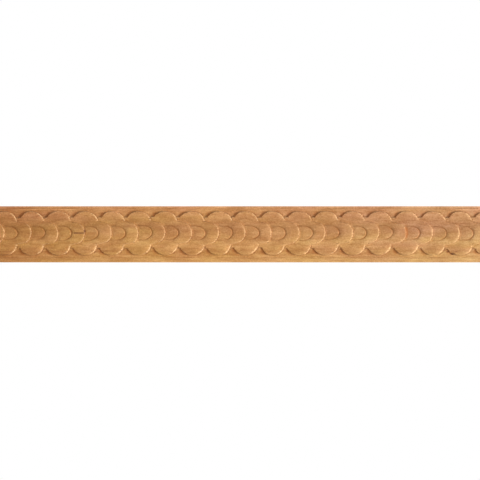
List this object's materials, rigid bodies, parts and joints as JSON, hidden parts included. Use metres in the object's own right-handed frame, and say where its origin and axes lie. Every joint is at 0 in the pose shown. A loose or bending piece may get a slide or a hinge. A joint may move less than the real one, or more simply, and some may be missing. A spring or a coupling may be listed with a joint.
{
  "type": "carved wooden moulding",
  "caption": "Length of flat-backed wooden ogee moulding with a running row of overlapping scales carved along its crown and plain stepped edges, for fixing to furniture, frames or walls.",
  "frame": {"origin": "middle of the flat back, where the moulding is glued or pinned on", "axes": "+X along the moulding, the way the scales' noses point; +Y out of the flat back, so the carved front faces -Y; +Z across the width, towards the wider thin edge"},
  "size_m": [0.72, 0.019, 0.084],
  "materials": {
    "carved_wood": "bare, finely carved and sanded warm tan hardwood with its grain along the length"
  },
  "bodies": {
    "root": {"moulding": "carved_wood"}
  },
  "joints": []
}
